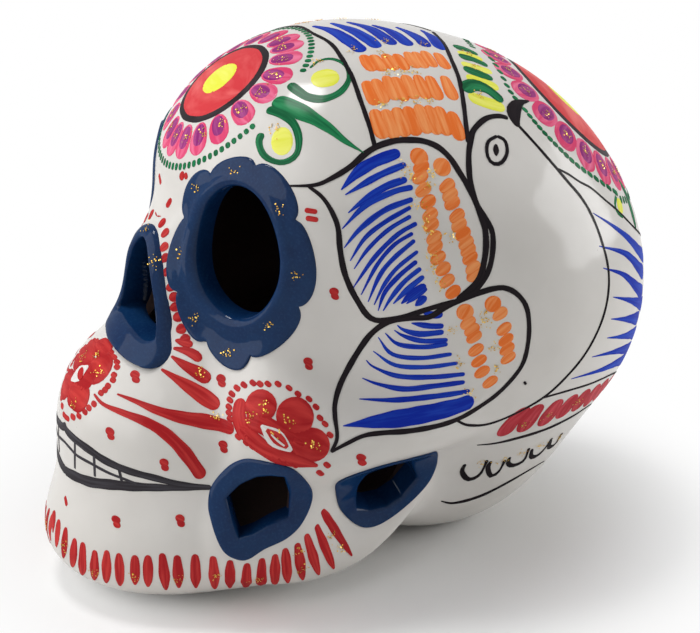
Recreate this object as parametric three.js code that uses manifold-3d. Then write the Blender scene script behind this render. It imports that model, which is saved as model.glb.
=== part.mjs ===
// A hollow clay skull, painted and varnished, that stands on a table as a seasonal decoration.
// Two pressed halves of clay meet on the middle plane. Every opening cut through them is lined,
// and framed on the outside, by a thick coat of blue enamel.
//
// Millimetres, +Z up. The face looks along -Y and the skull's left side is +X. The origin lies
// on the table, under the middle of the skull.

import * as THREE from 'three';
import { mergeVertices } from 'three/addons/utils/BufferGeometryUtils.js';
import Module from 'manifold-3d';

const wasm = await Module();
wasm.setup();

// Clay body
const CRANIUM_WIDTH = 116; // the widest part of the skull
const CRANIUM_LENGTH = 135; // along the brain case, which leans back
const CRANIUM_HEIGHT = 110; // square to that length
const WALL = 5; // thickness of the pressed clay
const FOOT_DEPTH = 0.4; // how far the round underside is ground off to stand flat
const FOOT_ROUNDING = 3; // softness of the edge around the ground foot

// Enamel around the openings
const ENAMEL_PROUD = 0.4; // how far the coat stands out of the clay
const ENAMEL_SUNK = 0.8; // how deep the coat is let into the clay
const NOSE_PROUD = 1.8; // the thicker moulding around the nose
const LINING = 1.2; // thickness of the coat on the cut edge of the wall
const CLEARANCE = 0.3; // gap between enamel and clay

// Lumps that melt into the skull, given for the left side and mirrored: centre, half sizes,
// tilt about X in degrees, and the width over which a lump blends into those before it
const LUMPS = {
  cranium: {
    centre: [0, 23, 79.5],
    half: [CRANIUM_WIDTH / 2, CRANIUM_LENGTH / 2, CRANIUM_HEIGHT / 2],
    tilt: -40,
    blend: 0,
  },
  forehead: { centre: [0, -10.5, 102], half: [45, 38.5, 36], tilt: 0, blend: 20 },
  face: { centre: [0, -14.5, 71], half: [43, 33.5, 36], tilt: 0, blend: 16 },
  nose: { centre: [0, -51, 84], half: [13, 10.5, 14], tilt: -7, blend: 12 },
  muzzle: { centre: [0, -39, 41], half: [36, 42.5, 33], tilt: -12, blend: 14 },
  jaw: { centre: [0, -37.5, 21.5], half: [39, 49, 22.5], tilt: 10, blend: 16 },
  ramus: { centre: [34, -25.5, 28], half: [10, 22, 21], tilt: 0, blend: 14 },
  cheekbone: { centre: [37, -33.5, 56], half: [12, 12, 11], tilt: 0, blend: 14 },
  arch: { centre: [44, -11.5, 45], half: [8, 24, 7], tilt: 0, blend: 14 },
  base: { centre: [0, 27, 26], half: [30, 33, 28.5], tilt: 0, blend: 22 },
};

// Dents pressed into the lumps, given in the same way
const DENTS = {
  socket: { centre: [26, -65.5, 98], half: [15, 17, 20], tilt: 0, blend: 8 },
  temple: { centre: [63, -33.5, 80], half: [18, 20, 28], tilt: 0, blend: 16 },
  underArch: { centre: [60, -11.5, 26], half: [16, 18, 13], tilt: 0, blend: 10 },
};

// Surface mesh: the rays that find the skin start here, and crowd towards the face
const HEART = new THREE.Vector3(0, -11, 64);
const FACE_PULL = new THREE.Vector3(0, -0.3, 0);
const SKIN_DETAIL = 9;
const HOLLOW_DETAIL = 5;
const FAR_OUT = 160; // a distance from the heart that lies outside the skull
const STEP_SHARE = 0.9; // share of the distance walked at each step along a ray
const MAX_STEPS = 80;
const FINE = 0.002; // a ray stops this close to the skin

// Openings of the left side: centre on the wall, the way the knife went in (yaw from the front
// towards the left, pitch upwards, in degrees), and how far the cut reaches in and out
const EYE = { centre: [27, -46.5, 96.5], yaw: 23, pitch: 0, inward: 22, outward: 22 };
const NOSE = { centre: [0, -58, 82], yaw: 0, pitch: 0, inward: 16, outward: 20 };
const JAW = { centre: [41, -45, 34.5], yaw: 62, pitch: 0, inward: 14, outward: 14 };
const ARCH = { centre: [40, -9, 32], yaw: 88, pitch: -20, inward: 18, outward: 16 };

// Eye: an oval hole inside a flower with scalloped petals
const EYE_HOLE_WIDTH = 24.8;
const EYE_HOLE_HEIGHT = 34;
const FLOWER_WIDTH = 38.6;
const FLOWER_HEIGHT = 52.8;
const FLOWER_SHIFT = [0.6, -2.8]; // the flower sits a little out and below the hole
const PETALS = 8;
const PETAL_NOTCH = 0.13; // depth of the notch between petals, as a share of the radius
const POINTS_PER_PETAL = 4;
const EYE_HOLE_POINTS = 20;

// Nose: half outlines from the top to the bottom, mirrored for the other half
const NOSE_HOLE_HALF = [
  [0, 13.5], [3.8, 10.8], [7.4, 4.5], [10.6, -7.5], [9.6, -10.4], [4.5, -9.2], [0, -8],
];
const NOSE_FIELD_HALF = [
  [0, 17.5], [4.5, 15.5], [9, 7.5], [12.6, -5], [15.8, -13.5], [13.5, -16.2], [0, -14.8],
];

// Jaw and arch: knife-cut holes with straight edges inside round fields of enamel
const JAW_HOLE = [
  [-7.8, 1.8], [-4.3, 5.2], [0, 7.9], [7, 9.1], [8.1, 3.9], [7.7, -3.4], [-1.5, -7.7], [-4.8, -8.8],
];
const JAW_FIELD = [
  [-0.8, 13.3], [9, 11.5], [13.8, 3.5], [10.8, -6.3], [1.7, -12.1], [-5, -15.1], [-10.2, -10.2],
  [-12.5, -0.4], [-8.8, 8.4],
];
const ARCH_HOLE = [
  [-9, 3], [-7.5, 8.5], [2, 9.5], [9, 7], [10.5, 1], [8, -4.5], [2, -7], [-4, -6.5], [-7.5, -2.5],
];
const ARCH_FIELD = [
  [-15, 9], [-14.5, 2], [-8.5, -8.5], [-1, -11.5], [6, -11], [12.5, -7], [15.5, 0], [14, 10], [0, 13],
];
const FIELD_POINTS = 16; // points on each round field

// Finish
const CLAY_WHITE = '#e6e4e2';
const CLAY_ROUGHNESS = 0.32;
const ENAMEL_BLUE = '#26466f';
const ENAMEL_ROUGHNESS = 0.22;

// Half size of the boxes that trim the skull, larger than the skull
const TRIM = 400;

// Shape of the skull as a distance that is negative inside the clay
function lumpDistance(point, { centre, half, tilt }) {
  const turn = THREE.MathUtils.degToRad(tilt);
  const behind = point.y - centre[1];
  const above = point.z - centre[2];
  const x = Math.abs(point.x) - centre[0];
  const y = Math.cos(turn) * behind + Math.sin(turn) * above;
  const z = Math.cos(turn) * above - Math.sin(turn) * behind;
  const reach = Math.hypot(x / half[0], y / half[1], z / half[2]);
  const slope = Math.hypot(x / half[0] ** 2, y / half[1] ** 2, z / half[2] ** 2);
  return reach * (reach - 1) / Math.max(slope, Number.EPSILON);
}

function melt(a, b, width) {
  const share = Math.max(width - Math.abs(a - b), 0) / Math.max(width, Number.EPSILON);
  return Math.min(a, b) - share * share * width / 4;
}

function skullDistance(point) {
  let distance = FAR_OUT;
  for (const lump of Object.values(LUMPS)) {
    distance = melt(distance, lumpDistance(point, lump), lump.blend);
  }
  for (const dent of Object.values(DENTS)) {
    distance = -melt(-distance, lumpDistance(point, dent), dent.blend);
  }
  return -melt(-distance, point.z + FOOT_DEPTH, FOOT_ROUNDING);
}

// Solids from three.js geometry
function solidFrom(geometry) {
  geometry.deleteAttribute('normal');
  geometry.deleteAttribute('uv');
  const merged = mergeVertices(geometry);
  const mesh = new wasm.Mesh({
    numProp: 3,
    vertProperties: new Float32Array(merged.attributes.position.array),
    triVerts: new Uint32Array(merged.index.array),
  });
  return new wasm.Manifold(mesh);
}

function geometryFrom(solid) {
  const mesh = solid.getMesh();
  const geometry = new THREE.BufferGeometry();
  geometry.setAttribute('position', new THREE.BufferAttribute(new Float32Array(mesh.vertProperties), 3));
  geometry.setIndex(new THREE.BufferAttribute(new Uint32Array(mesh.triVerts), 1));
  geometry.computeVertexNormals();
  return geometry;
}

function mirrored(geometry) {
  const copy = geometry.clone();
  copy.scale(-1, 1, 1);
  const corners = copy.index.array;
  for (let i = 0; i < corners.length; i += 3) {
    [corners[i], corners[i + 1]] = [corners[i + 1], corners[i]];
  }
  copy.computeVertexNormals();
  return copy;
}

// The closed skin that lies a given distance outside the clay, or inside it if negative
function skin(offset, detail) {
  const geometry = new THREE.IcosahedronGeometry(1, detail);
  const corners = geometry.attributes.position;
  const ray = new THREE.Vector3();
  const point = new THREE.Vector3();
  for (let i = 0; i < corners.count; i += 1) {
    ray.fromBufferAttribute(corners, i).normalize().add(FACE_PULL).normalize();
    let along = FAR_OUT;
    let left = FAR_OUT;
    for (let step = 0; step < MAX_STEPS && Math.abs(left) > FINE; step += 1) {
      point.copy(HEART).addScaledVector(ray, along);
      left = skullDistance(point) - offset;
      along -= STEP_SHARE * left;
    }
    point.copy(HEART).addScaledVector(ray, along);
    corners.setXYZ(i, point.x, point.y, point.z);
  }
  return solidFrom(geometry);
}

// Outlines of the cuts, as points around the centre of the opening
function ovalOutline(width, height, count) {
  const oval = new THREE.EllipseCurve(0, 0, width / 2, height / 2);
  return oval.getPoints(count).slice(0, count);
}

function flowerOutline() {
  const points = [];
  const count = PETALS * POINTS_PER_PETAL;
  for (let i = 0; i < count; i += 1) {
    const angle = i / count * 2 * Math.PI;
    const swell = Math.sqrt(Math.abs(Math.cos(angle * PETALS / 2)));
    const share = 1 - PETAL_NOTCH * (1 - swell);
    const x = Math.cos(angle) * share * FLOWER_WIDTH / 2 + FLOWER_SHIFT[0];
    const y = Math.sin(angle) * share * FLOWER_HEIGHT / 2 + FLOWER_SHIFT[1];
    points.push(new THREE.Vector2(x, y));
  }
  return points;
}

function symmetricOutline(half) {
  const right = half.map(([x, y]) => new THREE.Vector2(x, y));
  const left = half.slice(1, -1).map(([x, y]) => new THREE.Vector2(-x, y));
  return [...right, ...left.reverse()];
}

function cornerOutline(corners) {
  return corners.map(([x, y]) => new THREE.Vector2(x, y));
}

function roundOutline(corners) {
  const loop = new THREE.CatmullRomCurve3(corners.map(([x, y]) => new THREE.Vector3(x, y, 0)), true);
  const points = loop.getPoints(FIELD_POINTS).slice(0, FIELD_POINTS);
  return points.map(({ x, y }) => new THREE.Vector2(x, y));
}

// A straight cut through the wall along the opening's own direction, widened by an amount
function cut(opening, outline, widened = 0) {
  const shape = new THREE.Shape(outline.map((p) => p.clone().setLength(p.length() + widened)));
  const depth = opening.inward + opening.outward;
  const geometry = new THREE.ExtrudeGeometry(shape, { depth, bevelEnabled: false });
  geometry.translate(0, 0, -opening.inward);
  const yaw = THREE.MathUtils.degToRad(opening.yaw);
  const pitch = THREE.MathUtils.degToRad(opening.pitch);
  const across = new THREE.Vector3(Math.cos(yaw), Math.sin(yaw), 0);
  const level = new THREE.Vector3(Math.sin(yaw), -Math.cos(yaw), 0);
  const outwards = level.multiplyScalar(Math.cos(pitch)).setZ(Math.sin(pitch));
  const upwards = new THREE.Vector3().crossVectors(outwards, across);
  const place = new THREE.Matrix4().makeBasis(across, upwards, outwards).setPosition(...opening.centre);
  geometry.applyMatrix4(place);
  return solidFrom(geometry);
}

function block(min, max) {
  const size = new THREE.Vector3().subVectors(max, min);
  const geometry = new THREE.BoxGeometry(size.x, size.y, size.z);
  geometry.translate(min.x + size.x / 2, min.y + size.y / 2, min.z + size.z / 2);
  return solidFrom(geometry);
}

// Skins shared by the pieces
const claySkin = skin(0, SKIN_DETAIL);
const enamelSkin = skin(ENAMEL_PROUD, SKIN_DETAIL);
const noseSkin = skin(NOSE_PROUD, SKIN_DETAIL);
const coatBackSkin = skin(-ENAMEL_SUNK, SKIN_DETAIL);
const pocketSkin = skin(-ENAMEL_SUNK - CLEARANCE, SKIN_DETAIL);
const hollowSkin = skin(-WALL, HOLLOW_DETAIL);

// The openings with their outlines and the face of their enamel
const openings = {
  eye: {
    ...EYE,
    hole: ovalOutline(EYE_HOLE_WIDTH, EYE_HOLE_HEIGHT, EYE_HOLE_POINTS),
    field: flowerOutline(),
    face: enamelSkin,
  },
  nose: {
    ...NOSE,
    hole: symmetricOutline(NOSE_HOLE_HALF),
    field: symmetricOutline(NOSE_FIELD_HALF),
    face: noseSkin,
  },
  jaw: { ...JAW, hole: cornerOutline(JAW_HOLE), field: roundOutline(JAW_FIELD), face: enamelSkin },
  arch: { ...ARCH, hole: cornerOutline(ARCH_HOLE), field: roundOutline(ARCH_FIELD), face: enamelSkin },
};

// Enamel collar: a coat let into the outside, and a lining through the wall
function collar(opening) {
  const coat = opening.face.subtract(coatBackSkin).intersect(cut(opening, opening.field));
  const lining = opening.face.subtract(hollowSkin).intersect(cut(opening, opening.hole, LINING));
  return geometryFrom(coat.add(lining).subtract(cut(opening, opening.hole)));
}

// Left half of the clay, with a pocket and a hole for each collar
function leftHalf() {
  let clay = claySkin.subtract(hollowSkin);
  for (const opening of Object.values(openings)) {
    const pocket = cut(opening, opening.field, CLEARANCE).subtract(pocketSkin);
    const passage = cut(opening, opening.hole, LINING + CLEARANCE);
    clay = clay.subtract(pocket).subtract(passage);
  }
  const keep = block(new THREE.Vector3(0, -TRIM, 0), new THREE.Vector3(TRIM, TRIM, TRIM));
  return geometryFrom(clay.intersect(keep));
}

// Named pieces
function piece(name, geometry, color, roughness) {
  const finish = new THREE.MeshStandardMaterial({ color, roughness, metalness: 0 });
  const mesh = new THREE.Mesh(geometry, finish);
  mesh.name = name;
  return mesh;
}

const skull = new THREE.Group();

const half = leftHalf();
skull.add(piece('left_skull_half', half, CLAY_WHITE, CLAY_ROUGHNESS));
skull.add(piece('right_skull_half', mirrored(half), CLAY_WHITE, CLAY_ROUGHNESS));

for (const place of ['eye', 'jaw', 'arch']) {
  const enamel = collar(openings[place]);
  skull.add(piece(`left_${place}_collar`, enamel, ENAMEL_BLUE, ENAMEL_ROUGHNESS));
  skull.add(piece(`right_${place}_collar`, mirrored(enamel), ENAMEL_BLUE, ENAMEL_ROUGHNESS));
}
skull.add(piece('nose_collar', collar(openings.nose), ENAMEL_BLUE, ENAMEL_ROUGHNESS));

export default skull;
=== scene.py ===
"""Looks of a hollow clay skull: white slip, brush painting, glitter, varnish and blue enamel openings.

Shapes are worked out in millimetres in the frame of the CAD model (+Z up, the face towards -Y, the
skull's left side towards +X) and become metres when a mesh is made. Most of the painting is placed
by pixels of the photograph, dropped on the skin, and mirrored to the right side.
"""
import math

import bmesh
import bpy
import numpy as np
from mathutils import Matrix, Vector


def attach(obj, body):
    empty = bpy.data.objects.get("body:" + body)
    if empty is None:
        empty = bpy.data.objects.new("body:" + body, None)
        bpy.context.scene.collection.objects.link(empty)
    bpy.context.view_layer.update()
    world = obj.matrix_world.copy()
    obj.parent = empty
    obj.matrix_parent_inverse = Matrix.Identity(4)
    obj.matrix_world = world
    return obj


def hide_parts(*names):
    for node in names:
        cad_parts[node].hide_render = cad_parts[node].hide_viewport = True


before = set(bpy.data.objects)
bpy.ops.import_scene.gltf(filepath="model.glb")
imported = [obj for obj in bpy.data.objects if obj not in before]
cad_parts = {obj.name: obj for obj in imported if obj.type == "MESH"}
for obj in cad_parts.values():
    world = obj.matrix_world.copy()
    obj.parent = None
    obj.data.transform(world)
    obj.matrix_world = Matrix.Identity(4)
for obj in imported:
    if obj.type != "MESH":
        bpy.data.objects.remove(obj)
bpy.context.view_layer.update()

MM = 0.001
FULL_TURN = 2 * math.pi
TINY = 1e-9

# Clay body: lumps that melt together and dents pressed into them (centre, half sizes, tilt, blend)
LUMPS = {
    "cranium": ((0, 23, 79.5), (58, 67.5, 55), -40, 0),
    "forehead": ((0, -10.5, 102), (45, 38.5, 36), 0, 20),
    "face": ((0, -14.5, 71), (43, 33.5, 36), 0, 16),
    "nose": ((0, -49.5, 84), (13, 9.75, 14), -7, 12),
    "muzzle": ((0, -39, 41), (36, 42.5, 33), -12, 14),
    "jaw": ((0, -37.5, 21.5), (39, 49, 22.5), 10, 16),
    "ramus": ((34, -22.5, 28), (7, 24.5, 21), 0, 14),
    "cheekbone": ((37, -33.5, 56), (12, 12, 11), 0, 14),
    "arch": ((44, -11.5, 49.5), (8, 24, 7), 0, 14),
    "base": ((0, 27, 26), (30, 33, 28.5), 0, 22),
}
DENTS = {
    "socket": ((26, -65.5, 98), (15, 17, 20), 0, 8),
    "temple": ((63, -33.5, 80), (18, 20, 28), 0, 16),
    "under_arch": ((56, -11.5, 24), (20, 20, 13), 0, 8),
}
WALL = 5.0
FOOT_DEPTH = 0.4
FOOT_ROUNDING = 3.0
HEART = np.array((0.0, -11.0, 64.0))
FACE_PULL = np.array((0.0, -0.3, 0.0))
FAR_OUT = 160.0
STEP_SHARE = 0.85
MARCH_STEPS = 90
SETTLE_STEPS = 3
PROBE = 0.2

# Photograph: the camera that took it, with its azimuth from the front towards the left side
PHOTO_SIZE = (700, 633)
LENS_PIXELS = 2400.0
SENSOR = 36.0
CAMERA_AZIMUTH = 62.84
CAMERA_ELEVATION = 21.96
CAMERA_DISTANCE = 650.0
CAMERA_TARGET = np.array((0.0, 2.5, 65.0))
TARGET_PIXEL = (351.8, 305.7)
CLEAR_OF_SKULL = CAMERA_DISTANCE - 130.0


def unit(vectors):
    """Vectors brought to length one."""
    return vectors / np.maximum(np.linalg.norm(vectors, axis=-1, keepdims=True), TINY)


# Skin of the clay
def lump_distance(points, centre, half, tilt):
    """Distance to an ellipsoid tilted about X, mirrored to both sides."""
    turn = math.radians(tilt)
    behind = points[:, 1] - centre[1]
    above = points[:, 2] - centre[2]
    local = np.stack((
        np.abs(points[:, 0]) - centre[0],
        math.cos(turn) * behind + math.sin(turn) * above,
        math.cos(turn) * above - math.sin(turn) * behind,
    ), axis=1)
    reached = np.linalg.norm(local / half, axis=1)
    slope = np.linalg.norm(local / np.square(half), axis=1)
    return reached * (reached - 1) / np.maximum(slope, TINY)


def melt(a, b, width):
    """The smaller of two distances, with a soft blend of the given width."""
    share = np.maximum(width - np.abs(a - b), 0) / max(width, TINY)
    return np.minimum(a, b) - share * share * width / 4


def skin_distance(points):
    """Distance to the outside of the clay, negative in the clay."""
    distance = np.full(len(points), FAR_OUT)
    for centre, half, tilt, blend in LUMPS.values():
        distance = melt(distance, lump_distance(points, centre, half, tilt), blend)
    for centre, half, tilt, blend in DENTS.values():
        distance = -melt(-distance, lump_distance(points, centre, half, tilt), blend)
    return -melt(-distance, points[:, 2] + FOOT_DEPTH, FOOT_ROUNDING)


def skin_normal(points):
    """Way out of the clay at each point."""
    steps = np.eye(3) * PROBE
    slopes = [skin_distance(points + step) - skin_distance(points - step) for step in steps]
    return unit(np.stack(slopes, axis=1))


def settle(points, height):
    """Points moved square to the skin until they lie at a height above it."""
    for _ in range(SETTLE_STEPS):
        points = points - skin_normal(points) * (skin_distance(points) - height)[:, None]
    return points


def reach(starts, ways, height=0.0):
    """Points where straight ways from outside meet the skin, or the level at a height above it."""
    along = np.zeros(len(starts))
    for _ in range(MARCH_STEPS):
        along += STEP_SHARE * (skin_distance(starts + ways * along[:, None]) - height)
    return starts + ways * along[:, None]


# Camera of the photograph
def camera_axes():
    """Eye, right, up and forward of a camera whose middle pixel is the middle of the photograph."""
    azimuth = math.radians(CAMERA_AZIMUTH)
    elevation = math.radians(CAMERA_ELEVATION)
    back = np.array((
        math.sin(azimuth) * math.cos(elevation),
        -math.cos(azimuth) * math.cos(elevation),
        math.sin(elevation),
    ))
    level = np.array((math.cos(azimuth), math.sin(azimuth), 0.0))
    upright = np.cross(back, level)
    sideways = (PHOTO_SIZE[0] / 2 - TARGET_PIXEL[0]) / LENS_PIXELS
    downwards = (PHOTO_SIZE[1] / 2 - TARGET_PIXEL[1]) / LENS_PIXELS
    forward = unit(-back + level * sideways - upright * downwards)
    right = unit(np.cross(forward, (0.0, 0.0, 1.0)))
    return CAMERA_TARGET + back * CAMERA_DISTANCE, right, np.cross(right, forward), forward


EYE_PLACE, EYE_RIGHT, EYE_UP, EYE_FORWARD = camera_axes()


def on_skin(pixels):
    """Points of the skin that the photograph shows at these pixels, or the nearest to them."""
    pixels = np.asarray(pixels, float)
    sideways = (pixels[:, 0] - PHOTO_SIZE[0] / 2) / LENS_PIXELS
    downwards = (pixels[:, 1] - PHOTO_SIZE[1] / 2) / LENS_PIXELS
    ways = unit(EYE_FORWARD + sideways[:, None] * EYE_RIGHT - downwards[:, None] * EYE_UP)
    starts = EYE_PLACE + ways * CLEAR_OF_SKULL
    along = np.zeros(len(starts))
    nearest = np.full(len(starts), FAR_OUT)
    best = np.zeros(len(starts))
    for _ in range(MARCH_STEPS):
        left = skin_distance(starts + ways * along[:, None])
        best = np.where(left < nearest, along, best)
        nearest = np.minimum(left, nearest)
        along = np.minimum(along + STEP_SHARE * left, FAR_OUT * 2)
    return settle(starts + ways * best[:, None], 0.0)


# Curves through a few chosen points
def smooth_path(points, closed=False, steps=8):
    """A Catmull-Rom curve through the points."""
    points = np.asarray(points, float)
    if closed:
        ring = np.concatenate((points[-1:], points, points[:2]))
    else:
        ring = np.concatenate((2 * points[:1] - points[1:2], points, 2 * points[-1:] - points[-2:-1]))
    t = (np.arange(steps) / steps)[:, None]
    pieces = []
    for a, b, c, d in zip(ring[:-3], ring[1:-2], ring[2:-1], ring[3:]):
        pieces.append(
            b + 0.5 * t * (c - a + t * (2 * a - 5 * b + 4 * c - d + t * (3 * (b - c) + d - a)))
        )
    if not closed:
        pieces.append(points[-1:])
    return np.concatenate(pieces)


def lengths_along(path):
    """Length of a path up to each of its points."""
    return np.concatenate(((0.0,), np.cumsum(np.linalg.norm(np.diff(path, axis=0), axis=1))))


def points_at(path, wanted):
    """Points of a path at the wanted lengths along it."""
    lengths = lengths_along(path)
    return np.stack([np.interp(wanted, lengths, places) for places in path.T], axis=1)


def evenly(path, count):
    """Points spread evenly along a path."""
    return points_at(path, np.linspace(0, lengths_along(path)[-1], count))


def polar(radius, angles):
    """Flat points at a radius and an angle from the middle."""
    return np.stack((radius * np.cos(angles), radius * np.sin(angles)), axis=1)


def bearings(flat):
    """Angle of each flat point around the middle."""
    return np.arctan2(flat[:, 1], flat[:, 0])


# Openings cut through the wall with a knife
START_OUT = 22.0
PETAL_STEPS = 16
HOLE_POINTS = 120
COLLAR_POINTS = 240


class Opening:
    """A cut through the wall, with its hole and the field of enamel around it as flat outlines."""

    def __init__(self, centre, yaw, pitch):
        yaw = math.radians(yaw)
        pitch = math.radians(pitch)
        self.centre = np.array(centre, float)
        self.across = np.array((math.cos(yaw), math.sin(yaw), 0.0))
        self.outwards = np.array((
            math.sin(yaw) * math.cos(pitch),
            -math.cos(yaw) * math.cos(pitch),
            math.sin(pitch),
        ))
        self.upwards = np.cross(self.outwards, self.across)

    def flat(self, points):
        """Points of the skull in the plane of the opening."""
        away = points - self.centre
        return np.stack((away @ self.across, away @ self.upwards), axis=1)

    def drop(self, radius, angles, height):
        """Points of the plane, given by radius and angle, dropped straight on the skin at a height."""
        flat = polar(radius, angles)
        starts = self.centre + flat[:, :1] * self.across + flat[:, 1:] * self.upwards
        ways = np.broadcast_to(-self.outwards, starts.shape)
        return reach(starts + self.outwards * START_OUT, ways, height)


def radius_of(outline, angles):
    """Distance from the middle of an opening to its outline at each angle."""
    bearing = bearings(outline)
    order = np.argsort(bearing)
    length = np.linalg.norm(outline, axis=1)
    return np.interp(angles, bearing[order], length[order], period=FULL_TURN)


def petal_outline(notches, tips):
    """Outline of a flower: a round petal from each notch over its tip to the next notch."""
    turn = np.linspace(0, math.pi, PETAL_STEPS, endpoint=False)[:, None]
    petals = []
    for start, tip, end in zip(notches, tips, np.roll(notches, -1, axis=0)):
        middle = (start + end) / 2
        petals.append(middle + (start - middle) * np.cos(turn) + (tip - middle) * np.sin(turn))
    return np.concatenate(petals)


def eye_opening():
    """The eye: an oval hole in a flower of eight petals."""
    notches = [(211, 174), (255, 166), (295, 220), (298, 307), (250, 353), (207, 340), (179, 290), (185, 217)]
    tips = [(234, 157), (287, 181), (316, 265), (284, 343), (231, 369), (184, 324), (167, 262), (189, 181)]
    hole_width = 24.8
    hole_height = 34.0
    opening = Opening((27, -46.5, 96.5), 23, 0)
    turn = np.linspace(0, FULL_TURN, HOLE_POINTS, endpoint=False)
    opening.hole = polar(1.0, turn) * (hole_width / 2, hole_height / 2)
    opening.field = petal_outline(opening.flat(on_skin(notches)), opening.flat(on_skin(tips)))
    return opening


def far_eye():
    """The right eye, whose petals towards the brow are shorter: the photograph shows none of them."""
    brow_side = math.radians(160)
    spread = math.radians(95)
    ease = math.radians(35)
    shortest = 1.5
    opening = eye_opening()
    angles = np.linspace(-math.pi, math.pi, COLLAR_POINTS, endpoint=False)
    near_brow = np.clip((spread - np.abs(np.mod(angles, FULL_TURN) - brow_side)) / ease, 0, 1)
    full = radius_of(opening.field, angles)
    least = radius_of(opening.hole, angles) + shortest
    radius = full - np.maximum(full - least, 0) * near_brow
    opening.field = polar(radius, angles)
    return opening


def nose_opening():
    """The nose: a rounded triangle in a moulding, broadest below and a little wider on the left side."""
    hole = [(0.6, 13), (4.2, 10.8), (8, 4.3), (12.6, -7.4), (11.8, -10.6), (5, -9.2), (-3, -8.2),
            (-6.6, -8.2), (-7.2, -6), (-5.6, 4.5), (-2.6, 10.8)]
    field = [(-0.7, 15.9), (3.4, 15.3), (6.9, 11.9), (9.7, 6.3), (12.2, -3.2), (14.2, -8.7), (17, -13),
             (17.3, -15.9), (13.5, -15.7), (4.4, -14), (-3, -13), (-8.4, -12), (-9.8, -9.5), (-9.6, -4),
             (-8, 6), (-4.8, 13.6)]
    opening = Opening((0, -58, 82), 0, 0)
    opening.hole = smooth_path(hole, closed=True)
    opening.field = smooth_path(field, closed=True)
    return opening


def jaw_opening():
    """The hole in the jaw: knife-cut sides in a rounded field."""
    hole = [(227, 498), (240, 485), (257, 477), (271, 476), (284, 477), (289, 494), (288, 516), (268, 525),
            (252, 534), (239, 538), (234, 525), (230, 509)]
    field = [(253, 459), (286, 466), (302, 476), (312, 490), (311, 505), (301, 525), (286, 539), (265, 549),
             (249, 559), (239, 560), (226, 554), (218, 542), (211, 521), (208, 505), (211, 487), (223, 471),
             (237, 461)]
    opening = Opening((41, -45, 34.5), 62, 0)
    opening.hole = evenly(opening.flat(on_skin(hole + hole[:1])), HOLE_POINTS)
    opening.field = smooth_path(opening.flat(on_skin(field)), closed=True)
    return opening


def arch_opening():
    """The hole under the cheek arch: knife-cut sides in a field that runs up under the arch."""
    hole = [(-9.6, 3), (-8.6, 9), (-2, 10.3), (4.4, 9), (8.4, 0), (4.6, -5.1), (0.2, -7.3), (-4.5, -7.3),
            (-8.4, -5.8)]
    field = [(-18.2, 11), (-17.4, 4.5), (-14, -4), (-9, -9.7), (-3.5, -11.3), (3, -9.8), (9.5, -5.8),
             (13.6, -1), (13.8, 5), (10.5, 11), (0, 13.3), (-11, 13.5)]
    opening = Opening((37, -6, 30), 88, -20)
    opening.hole = evenly(np.array(hole + hole[:1], float), HOLE_POINTS)
    opening.field = smooth_path(field, closed=True)
    return opening


OPENINGS = {"eye": eye_opening(), "nose": nose_opening(), "jaw": jaw_opening(), "arch": arch_opening()}


# Materials
def linear(code):
    """An sRGB hex colour as linear RGBA."""
    shares = [int(code[i:i + 2], 16) / 255 for i in (1, 3, 5)]
    return [s / 12.92 if s <= 0.04045 else ((s + 0.055) / 1.055) ** 2.4 for s in shares] + [1.0]


def add(tree, kind, inputs=None, **settings):
    """Adds a shader node. An input is a plain value, or the socket that feeds it."""
    node = tree.nodes.new("ShaderNode" + kind)
    for name, value in settings.items():
        setattr(node, name, value)
    for name, value in (inputs or {}).items():
        if isinstance(value, bpy.types.NodeSocket):
            tree.links.new(value, node.inputs[name])
        else:
            node.inputs[name].default_value = value
    return node


def new_material(name):
    """An empty node material and its object coordinates."""
    material = bpy.data.materials.new(name)
    material.use_nodes = True
    tree = material.node_tree
    tree.nodes.clear()
    return material, tree, add(tree, "TexCoord").outputs["Object"]


def seen_rays(tree):
    """One for the rays that show the white studio itself, straight or in a reflection, else zero."""
    rays = add(tree, "LightPath").outputs
    seen = add(tree, "Math", {0: rays["Is Camera Ray"], 1: rays["Is Glossy Ray"]}, operation="MAXIMUM")
    seen = add(tree, "Math", {0: seen.outputs["Value"], 1: rays["Is Transmission Ray"]}, operation="MAXIMUM")
    return seen.outputs["Value"]


def per_metre(size):
    """Texture scale that gives one cell to a size in millimetres."""
    return 1 / (size * MM)


# Brush varnish settles in soft waves about as wide as a finger
VARNISH_WAVE = 14.0
VARNISH_WAVE_DEPTH = 0.4
FULL_COAT = 0.6
THIN_COAT = 0.15
ENAMEL_COAT = 0.3


def varnish(tree, coordinates, coat, roughness=0.16):
    """Gloss varnish over a painted surface: what the shader takes for a clear coat with soft waves."""
    wave = add(tree, "TexNoise", {"Vector": coordinates, "Scale": per_metre(VARNISH_WAVE), "Detail": 2.0})
    bump = add(tree, "Bump", {
        "Height": wave.outputs["Fac"], "Distance": VARNISH_WAVE_DEPTH * MM, "Strength": 1.0,
    })
    normal = bump.outputs["Normal"]
    return {
        "Normal": normal, "Coat Normal": normal, "Specular IOR Level": 0.0,
        "Coat Weight": coat, "Coat Roughness": roughness, "Coat IOR": 1.5,
    }


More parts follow.
